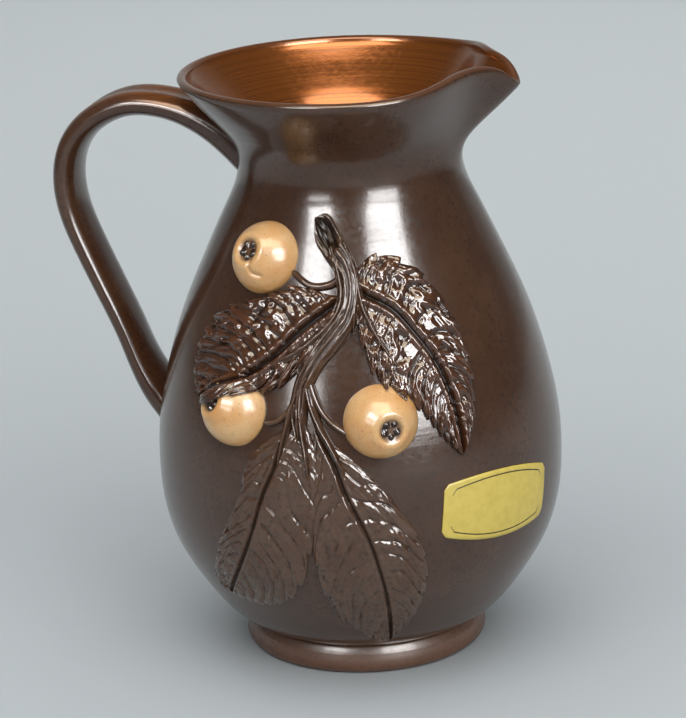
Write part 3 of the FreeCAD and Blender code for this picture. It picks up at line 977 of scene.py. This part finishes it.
@dataclass
class Leaf(Applique):
    """A serrated leaf with a sunken midrib, side veins that run out to its teeth, and quilted flesh."""

    name: str = ""
    midrib: Places = ()
    left: Places = ()
    right: Places = ()
    veins: int = 13
    tooth_depth: float = 0.12
    tooth_lean: float = 0.5
    tooth_curve: float = 1.5
    tooth_reach: int = 6
    sweep: float = 0.17
    sweep_curve: float = 0.7
    crowding: float = 0.9
    thickness: float = 1.7
    edge: float = 0.9
    soft_edge: float = 2.2
    tip_length: float = 5.0
    midrib_depth: float = 1.2
    midrib_width: float = 0.9
    bank: float = 0.9
    bank_place: float = 2.2
    vein_depth: float = 0.7
    vein_width: float = 0.55
    vein_fade: float = 1.5
    uneven: float = 0.25
    uneven_waves: float = 9.0
    wander: float = 0.35
    wander_grid: tuple[float, float] = (80.0, 20.0)
    wander_size: tuple[float, float] = (11.0, 9.0)
    rib_fade: float = 3.5
    margin_fade: float = 2.0
    quilt: float = 0.8
    quilt_curve: float = 0.7
    crumple: float = 0.55
    crumple_size: tuple[float, float] = (5.0, 2.8)
    crumple_least: float = 0.35
    vein_least: float = 0.4
    pleat: float = 0.0
    pleats_per_vein: float = 1.6
    pleat_sharpness: float = 2.2
    pleat_length: float = 7.0
    pleat_fade: float = 2.5
    pleat_least: float = 0.25
    side_shift: float = 5.0
    patch_size: float = 13.0
    patch_mean: float = 0.55
    patch_spread: float = 0.9
    patch_least: float = 0.2
    patch_shift: float = 40.0
    least_lift: float = 0.1
    drape: float = 0.9
    drape_detail: float = 0.4
    drape_start: float = 0.5
    drape_power: int = 4
    full_ridge: float = 1.1
    finish: Glaze = Glaze.CREASED
    fruits: tuple[Fruit, ...] = ()
    rows: int = 260
    half_columns: int = 44

    def build(self) -> None:
        """Makes the leaf: its outline first, then its veins and creases, then its drape over fruits."""
        stretch = np.array([math.radians(self.wall.belly_radius), 1.0])
        rib = np.array(self.midrib) * stretch
        along = np.linspace(0, 1, self.rows)[:, None]
        across = np.linspace(-1, 1, 2 * self.half_columns + 1)[None, :]
        across = np.sign(across) * np.abs(across) ** self.crowding
        bow = np.sin(math.pi * along) ** self.sweep_curve
        swept = np.clip(along + self.sweep * np.abs(across) * bow, 0, 1)
        middle = spline(rib, along[:, 0])[:, None, :] + 0 * across[..., None]
        sides = []
        for margin in (self.left, self.right):
            line = np.vstack([rib[:1], np.array(margin) * stretch, rib[-1:]])
            sides.append(spline(line, swept))
        side = np.where((across < 0)[..., None], sides[0], sides[1])
        rough = stacked(along * self.wander_grid[0], across * self.wander_grid[1]) + rib[0]
        beat = along * self.veins + self.uneven * np.sin(self.uneven_waves * along)
        beat = beat + self.wander * grain(rough, self.wander_size, 1)
        tooth = (beat + self.tooth_lean * np.abs(across)) % 1.0
        bite = self.tooth_depth * (1 - tooth) ** self.tooth_curve * np.abs(across) ** self.tooth_reach
        middle_to_side = side - middle
        place = middle + middle_to_side * (np.abs(across) * (1 - bite))[..., None]

        width = np.linalg.norm(middle_to_side, axis=-1)
        length = np.linalg.norm(np.diff(rib, axis=0), axis=1).sum()
        off_rib = np.abs(across) * width
        off_vein = np.abs((beat + 0.5) % 1.0 - 0.5) * length / self.veins
        off_margin = (1 - np.abs(across)) * width
        flesh = np.clip(off_rib / self.rib_fade, 0, 1) * np.clip(off_margin / self.margin_fade, 0, 1)
        out = np.clip((1 - np.abs(across)) * np.maximum(width, 1) / self.soft_edge, 0, 1)
        tip = np.clip(np.minimum(along, 1 - along) * length / self.tip_length, 0, 1)
        groove = self.midrib_depth * hump(off_rib, self.midrib_width)
        bank = self.bank * hump(off_rib - self.bank_place * self.midrib_width, self.midrib_width) * tip
        vein = self.vein_depth * hump(off_vein, self.vein_width) * np.clip(off_rib / self.vein_fade, 0, 1)
        vein = vein * (self.vein_least + (1 - self.vein_least) * flesh)
        quilt = self.quilt * flesh * np.abs(np.sin(math.pi * beat)) ** self.quilt_curve
        spot = stacked(along * length, across * width) + rib[0]
        patch = grain(spot + self.patch_shift, (self.patch_size,) * 2, 1)
        patch = np.clip(self.patch_mean + self.patch_spread * patch, self.patch_least, 1)
        fine = grain(spot, self.crumple_size) * self.crumple * patch
        fine = fine * (self.crumple_least + (1 - self.crumple_least) * flesh)
        creases = stacked(beat * self.pleats_per_vein,
                          off_rib / self.pleat_length + np.sign(across) * self.side_shift)
        folds = (1 - self.pleat_sharpness * np.abs(grain(creases, (1.0, 1.0), 2))) * self.pleat
        folds = folds * np.clip(off_rib / self.pleat_fade, self.pleat_least, 1) * tip * patch
        detail = bank + quilt + fine + folds - groove - vein

        lift = self.edge + (self.thickness - self.edge) * np.sqrt(out * tip) + detail
        lift = np.maximum(lift, self.least_lift)
        angle, height = place[..., 0] / stretch[0], place[..., 1]
        for fruit in self.fruits:
            over = fruit.lift_over(angle, height) + self.drape + self.drape_detail * detail
            draped = lift ** self.drape_power + np.maximum(over, 0) ** self.drape_power
            lift = np.where(over > self.drape_start, draped ** (1 / self.drape_power), lift)
        ridge = np.clip(detail / self.full_ridge, -1, 1)
        piece = self.lay("serrated_leaf_" + self.name, angle, height, lift, ridge)
        dress(piece, self.finish, "leaf_glaze", "leaf_" + self.name)


@dataclass
class Roll(Applique):
    """A rolled or pulled strand of clay that runs along the wall."""

    name: str = ""
    line: Places = ()
    widths: tuple[float, ...] = ()
    rise: float = 2.2
    ridges: float = 2.5
    ridge_depth: float = 0.35
    bark: float = 0.7
    bark_grain: float = 0.6
    grain_size: tuple[float, float] = (5.0, 1.0)
    twist: float = 0.5
    twist_size: tuple[float, float] = (14.0, 6.0)
    hollow: float = 0.0
    hollow_length: float = 12.0
    hollow_width: float = 0.6
    hollow_smooth: float = 0.8
    hollow_shade: float = 1.2
    end_round: float = 1.2
    end_taper: float = 2.0
    least_widths: tuple[float, float] = (0.02, 0.03)
    dome_share: float = 0.98
    ridge_shade: float = 0.8
    least_depth: float = 0.1
    fall_places: tuple[float, ...] = (0.0, 0.75, 1.0)
    fall: tuple[float, ...] = (1.0, 0.9, 0.5)
    least_lift: float = 0.15
    rows: int = 130
    columns: int = 29

    def build(self, *nodes: str) -> None:
        """Makes the roll.

        Args:
            nodes: The nodes that it stands for, if any.
        """
        stretch = np.array([math.radians(self.wall.belly_radius), 1.0])
        line = np.array(self.line) * stretch
        along = np.linspace(0, 1, self.rows)
        middle = spline(line, along)
        ahead = headings(middle)
        length = np.linalg.norm(np.diff(middle, axis=0), axis=1).sum()
        half = np.interp(along, np.linspace(0, 1, len(self.widths)), self.widths) / 2
        start, end = along * length, (1 - along) * length
        if self.hollow:
            blunt = np.clip(1 - start / (self.end_round * half), 0, 1)
            half = half * np.sqrt(np.clip(1 - blunt ** 2, self.least_widths[0], 1))
        half = half * np.sqrt(np.clip(end / (half * self.end_taper), self.least_widths[1], 1))
        across = np.sin(np.linspace(-math.pi / 2, math.pi / 2, self.columns))[None, :]
        sideways = stacked(-ahead[:, 1], ahead[:, 0])
        place = middle[:, None, :] + sideways[:, None, :] * (across * half[:, None])[..., None]
        dome = np.sqrt(1 - across ** 2 * self.dome_share)
        spot = stacked(start[:, None], across * half[:, None]) + line[0]
        twist = across * self.ridges * 2 + self.twist * grain(spot, self.twist_size, 1)
        bark = np.cos(math.pi * twist) * dome
        detail = self.ridge_depth * (self.bark * bark + self.bark_grain * grain(spot, self.grain_size))
        rise = self.rise * np.interp(along, self.fall_places, self.fall)[:, None]
        lift = rise * dome + detail * dome
        ridge = np.clip(detail / max(self.ridge_depth, self.least_depth) * self.ridge_shade, -1, 1)
        if self.hollow:
            reach = self.hollow_length / 2
            cup = np.clip(1 - ((start[:, None] - reach) / reach) ** 2, 0, 1)
            cup = np.sqrt(cup * np.clip(1 - across ** 2 / self.hollow_width, 0, 1))
            lift = lift - self.hollow * cup - self.hollow_smooth * detail * dome * cup
            # Painted shade: the hollow's ridge mark is pushed down so the glaze paints it dark.
            ridge = np.clip(ridge * (1 - cup) - self.hollow_shade * cup, -1, 1)
        lift = np.maximum(lift, self.least_lift)
        piece = self.lay(self.name, place[..., 0] / stretch[0], place[..., 1], lift, ridge)
        dress(piece, Glaze.RELIEF, "relief_glaze", *nodes)


@dataclass
class Sprig:
    """The applied sprig: a twig with a hollow cut end, strands and stalks, four leaves and three fruits."""

    wall: ThrownWall

    def fruits(self) -> dict[str, Fruit]:
        """The three fruits by name."""
        return {
            "upper": Fruit(self.wall, "upper", -115.0, 143.0, 5.8, 158.0,
                           crease=((21, 32), (28, 20), (38, 22), (48, 36))),
            "left": Fruit(self.wall, "left", -115.7, 97.0, 24.5, 149.0),
            "right": Fruit(self.wall, "right", -71.0, 95.8, 18.0, -49.0),
        }

    def leaves(self, fruits: dict[str, Fruit]) -> tuple[Leaf, ...]:
        """The four leaves: the upper two are creased and draped over fruits, the lower two pressed flat."""
        creased = {"pleat": 1.0, "quilt": 0.3, "vein_depth": 0.4, "crumple": 0.8}
        pressed = {"bank": 0.35, "quilt": 0.25, "crumple": 0.65, "pleat": 0.4, "vein_depth": 0.3,
                   "vein_width": 0.5, "thickness": 1.2, "edge": 0.3, "soft_edge": 3.6, "tooth_depth": 0.06,
                   "midrib_depth": 0.9, "midrib_width": 0.6, "wander": 0.6, "finish": Glaze.RELIEF}
        return (
            Leaf(self.wall, name="upper_right", fruits=(fruits["right"],), **creased,
                 midrib=((-79, 136), (-71, 132), (-64, 128), (-59, 122), (-55, 116), (-51, 106), (-49, 94),
                         (-48.5, 82)),
                 left=((-77, 127), (-76, 120), (-74, 114), (-71, 107), (-66, 103), (-60, 98), (-54, 89)),
                 right=((-75, 142), (-69, 145), (-61, 144), (-53, 140), (-46, 131), (-42, 120), (-41, 108),
                        (-42, 97), (-45, 88))),
            Leaf(self.wall, name="upper_left", fruits=(fruits["left"],), **creased,
                 midrib=((-81, 133), (-88, 128), (-95, 123), (-101, 117), (-108, 111), (-117, 105),
                         (-130, 98)),
                 left=((-84, 124), (-89, 117), (-94, 111), (-100, 106), (-106, 103), (-114, 101), (-123, 97)),
                 right=((-88, 134), (-98, 136), (-107, 134), (-118, 130), (-128, 126), (-134, 119),
                        (-136, 110), (-134, 103))),
            Leaf(self.wall, name="lower_left", **pressed,
                 midrib=((-95, 98), (-97, 93), (-99, 88), (-101, 81), (-104, 73), (-107, 63), (-111, 52),
                         (-117, 41), (-125, 31)),
                 left=((-92, 94), (-89, 86), (-88, 76), (-89, 65), (-91, 54), (-94, 43), (-100, 34),
                       (-112, 29)),
                 right=((-99, 93), (-105, 88), (-110, 82), (-112, 72), (-116, 62), (-121, 52), (-126, 42),
                        (-129, 35))),
            Leaf(self.wall, name="lower_right", **pressed,
                 midrib=((-90, 96), (-87, 89), (-84, 82), (-82, 75), (-79, 67), (-76, 59), (-73, 47),
                         (-70, 31), (-68, 15)),
                 left=((-85, 90), (-79, 84), (-73, 77), (-67, 68), (-62, 58), (-59, 47), (-59, 37),
                       (-61, 26)),
                 right=((-90, 87), (-90, 76), (-91, 64), (-91, 52), (-90, 41), (-87, 30), (-80, 20),
                        (-73, 15))),
        )

    def build(self) -> None:
        """Makes every piece of the sprig."""
        fruits = self.fruits()
        for piece in (*fruits.values(), *self.leaves(fruits)):
            piece.build()
        Roll(self.wall, name="twig_bark", rise=3.8, ridges=1.9, ridge_depth=0.95, hollow=3.4,
             hollow_length=14.0,
             line=((-93, 155), (-88.5, 151), (-84, 146), (-80, 141), (-78.5, 135), (-80, 128), (-84, 122),
                   (-89, 116), (-93, 108), (-94.5, 100), (-94, 90)),
             widths=(11.5, 10.5, 9.0, 8.5, 8.0, 7.0, 6.5, 6.0)).build("twig")
        strand = {"rise": 3.6, "ridges": 1.1, "ridge_depth": 0.5}
        stem = {"rise": 3.0, "ridges": 0.9}
        for name, sizes, widths, line in (
            ("twig_strand_left", strand, (3.0, 4.0, 4.2, 3.6, 2.2),
             ((-86, 147), (-83, 139), (-82, 133), (-85, 126), (-91, 120), (-98, 115), (-107, 111))),
            ("twig_strand_right", strand, (2.6, 3.8, 4.0, 3.2, 2.0),
             ((-81, 148), (-77, 140), (-75.5, 132), (-73, 125), (-69, 118), (-64, 110))),
            ("twig_strand_middle", {"rise": 3.9, "ridges": 0.8}, (2.4, 3.2, 2.8, 1.4),
             ((-79, 145), (-76.5, 136), (-77.5, 128), (-78, 122))),
            ("leaf_stem_left", stem, (2.8, 3.0, 2.6, 1.6), ((-92, 109), (-96, 101), (-98, 92), (-100, 82))),
            ("leaf_stem_middle", {"rise": 3.2, "ridges": 0.9}, (2.6, 2.8, 2.4, 1.4),
             ((-93.5, 106), (-93.5, 96), (-92, 86), (-91, 76))),
            ("leaf_stem_right", stem, (2.8, 3.0, 2.6, 1.6), ((-92, 106), (-89, 96), (-85, 88), (-81, 78))),
        ):
            Roll(self.wall, name=name, line=line, widths=widths, **sizes).build()
        for side, rise, widths, line in (
            ("upper", 1.9, (2.6, 2.4, 2.2),
             ((-81.5, 141), (-84, 137.5), (-88, 136), (-93.5, 136), (-98, 138), (-101.5, 140))),
            ("left", 1.8, (2.4, 2.2, 2.0), ((-95, 103), (-98, 98), (-101.5, 95), (-105, 94.5))),
            ("right", 2.0, (2.6, 2.4, 2.2), ((-92.5, 111), (-90, 104), (-87, 98), (-83, 94), (-80, 92))),
        ):
            Roll(self.wall, name="fruit_stalk_" + side, line=line, widths=widths, rise=rise, ridges=0.5,
                 ridge_depth=0.12).build("stalk_" + side)


@dataclass
class PaperLabel:
    """The stuck-on paper label, bare but for a thin line inside its top and bottom edges."""

    wall: ThrownWall
    angle: float = -35.5
    height: float = 62.7
    tilt: float = -5.0
    width: float = 46.0
    side_height: float = 17.0
    arch: float = 3.0
    corner_cut: float = 1.6
    thickness: float = 0.35
    cut_share: float = 0.06
    line_inset: float = 1.5
    line_width: float = 0.4
    ink_thickness: float = 0.04
    rows: int = 25
    line_rows: int = 3
    columns: int = 61

    def edge(self, share: np.ndarray) -> np.ndarray:
        """The upper edge's height over the label's middle, for a share from -1 to 1 across it."""
        cut = self.corner_cut * np.clip((np.abs(share) - 1 + self.cut_share) / self.cut_share, 0, 1)
        return self.side_height / 2 + self.arch * (1 - share ** 2) - cut

    def patch(self, name: str, low: Callable, high: Callable, inset: float, lift: float,
              rows: int) -> bpy.types.Object:
        """Makes a patch of the label's surface.

        Args:
            name: The patch's name.
            low: Gives the lower edge's height over the label's middle, for a share from -1 to 1 across it.
            high: The same for the upper edge.
            inset: How far the patch ends short of the label's sides.
            lift: How far its face stands out of the wall.
            rows: How many points it has from edge to edge.

        Returns:
            The new object.
        """
        share = np.linspace(-1, 1, self.columns)[None, :]
        rise = np.linspace(0, 1, rows)[:, None]
        x = share * (self.width / 2 - inset) + 0 * rise
        y = low(share) + rise * (high(share) - low(share))
        tilt = math.radians(self.tilt)
        side = x * math.cos(tilt) - y * math.sin(tilt)
        up = x * math.sin(tilt) + y * math.cos(tilt)
        angle = self.angle + np.degrees(side / self.wall.radius(self.height))
        flat = np.zeros_like(x)
        return Applique(self.wall, back=0.0).lay(name, angle, self.height + up, flat + lift, flat)

    def build(self) -> None:
        """Makes the label and its two border lines."""
        paper = self.patch("paper_label", lambda s: -self.edge(s), self.edge, 0.0, self.thickness, self.rows)
        dress(paper, Glaze.LABEL, "yellow_paper", "label")
        for name, sign in (("label_line_top", 1), ("label_line_bottom", -1)):
            line = self.patch(name, lambda s: sign * (self.edge(s) - self.line_inset - self.line_width),
                              lambda s: sign * (self.edge(s) - self.line_inset), 2 * self.line_inset,
                              self.thickness + self.ink_thickness, self.line_rows)
            dress(line, Glaze.INK, "yellow_paper")


@dataclass(frozen=True)
class Viewpoint:
    """The camera: where it stands, what it looks at, its roll and its lens."""

    position: tuple[float, float, float] = (213.7, -925.7, 394.3)
    target: tuple[float, float, float] = (-4.7, -1.1, 96.9)
    roll: float = -2.11
    focal_pixels: float = 2985.0
    image_width: int = 686
    sensor: float = 36.0

    def build(self) -> None:
        """Makes the camera and gives it to the scene."""
        lens = bpy.data.cameras.new("camera")
        lens.sensor_fit = "HORIZONTAL"
        lens.sensor_width = self.sensor
        lens.lens = self.sensor * self.focal_pixels / self.image_width
        camera = link("camera", lens)
        place = Vector(self.position) * MILLIMETRE
        forward = (Vector(self.target) * MILLIMETRE - place).normalized()
        level = forward.cross(Vector((0, 0, 1))).normalized()
        up = level.cross(forward)
        roll = math.radians(self.roll)
        right = level * math.cos(roll) + up * math.sin(roll)
        turned = Matrix((right, right.cross(forward), -forward)).transposed().to_4x4()
        camera.matrix_world = Matrix.Translation(place) @ turned
        bpy.context.scene.camera = camera


class Lights(Enum):
    """What a lamp does: whether it lights matt colour, and whether it shows in the gloss."""

    MATT = (True, False)
    GLOSS = (False, True)


@dataclass(frozen=True)
class SoftBox:
    """A flat studio light that faces the jug from a direction.

    Its angle runs round the jug and its rise is from the table. Wide and tall are the angles that it
    fills, seen from the jug.
    """

    name: str
    angle: float
    rise: float
    wide: float
    tall: float
    brightness: float
    lights: Lights
    colour: str = "#ffffff"
    distance: float = 1600.0
    aim_height: float = 100.0
    energy_per_area: float = 4.0

    def build(self) -> None:
        """Makes the lamp and aims it at the jug."""
        lamp = bpy.data.lights.new(self.name, "AREA")
        lamp.shape = "RECTANGLE"
        lamp.size, lamp.size_y = (2 * self.distance * math.tan(math.radians(angle / 2)) * MILLIMETRE
                                  for angle in (self.wide, self.tall))
        lamp.energy = self.energy_per_area * lamp.size * lamp.size_y * self.brightness
        lamp.color = linear(self.colour)[:3]
        light = link(self.name, lamp)
        turn, rise = math.radians(self.angle), math.radians(self.rise)
        away = Vector((math.cos(turn) * math.cos(rise), math.sin(turn) * math.cos(rise), math.sin(rise)))
        middle = Vector((0, 0, self.aim_height)) * MILLIMETRE
        light.location = middle + away * self.distance * MILLIMETRE
        light.rotation_euler = away.to_track_quat("Z", "Y").to_euler()
        light.visible_diffuse, light.visible_glossy = self.lights.value
        light.visible_camera = False


@dataclass
class Studio:
    """A plain pale sweep of background paper under soft lights."""

    sweep_width: float = 6000.0
    front: float = -2200.0
    back: float = 2300.0
    wall_height: float = 2400.0
    bend: float = 600.0
    turn: float = 13.0
    world_colour: str = "#d3d8d9"
    world_strength: float = 0.16

    def build(self) -> None:
        """Makes the background, the world light and the lamps."""
        profile = [(self.front, 0.0), (0.0, 0.0), (self.back - self.bend, 0.0)]
        for rise in np.radians(np.linspace(10, 90, 9)):
            profile.append((self.back - self.bend * (1 - math.sin(rise)), self.bend * (1 - math.cos(rise))))
        profile.append((self.back, self.wall_height))
        turn = math.radians(self.turn)
        rows = []
        for y, z in profile:
            rows.append([(x * math.cos(turn) - y * math.sin(turn), x * math.sin(turn) + y * math.cos(turn), z)
                         for x in (-self.sweep_width / 2, self.sweep_width / 2)])
        paper = make_object("background_sweep", np.array(rows).reshape(-1, 3),
                            grid_faces(len(rows), 2, False))
        paper.data.materials.append(Glaze.STUDIO.value.material())
        world = bpy.data.worlds.new("soft_daylight")
        world.use_nodes = True
        world.node_tree.nodes.clear()
        glow = add_node(world.node_tree, "Background",
                        {"Color": linear(self.world_colour), "Strength": self.world_strength})
        add_node(world.node_tree, "OutputWorld", links={"Surface": glow.outputs[0]})
        bpy.context.scene.world = world
        for light in (
            SoftBox("overhead_glow", -90, 68, 70, 70, 1.75, Lights.MATT),
            SoftBox("backdrop_glow", 95, 58, 60, 40, 0.55, Lights.MATT),
            SoftBox("key_window_glow", -48, 24, 50, 44, 1.25, Lights.MATT),
            SoftBox("key_window_lower", -46, 13, 29, 15, 13.0, Lights.GLOSS),
            SoftBox("key_window_upper", -46, 31, 29, 17, 18.0, Lights.GLOSS),
            SoftBox("side_window_lower", -109, 13, 20, 8, 9.0, Lights.GLOSS),
            SoftBox("side_window_upper", -109, 31, 20, 14, 18.0, Lights.GLOSS),
            SoftBox("high_window", -69, 62, 54, 28, 6.5, Lights.GLOSS, "#fff0d6"),
        ):
            light.build()
        bpy.context.scene.view_settings.view_transform = "Standard"


def main() -> None:
    """Builds the studio and the jug, in order."""
    logging.basicConfig(level=logging.INFO, format="%(name)s: %(message)s")
    Viewpoint().build()
    Studio().build()
    wall = ThrownWall()
    wall.build()
    FootRing().build()
    StrapHandle(wall).build()
    Sprig(wall).build()
    PaperLabel(wall).build()


if __name__ == "__main__":
    main()
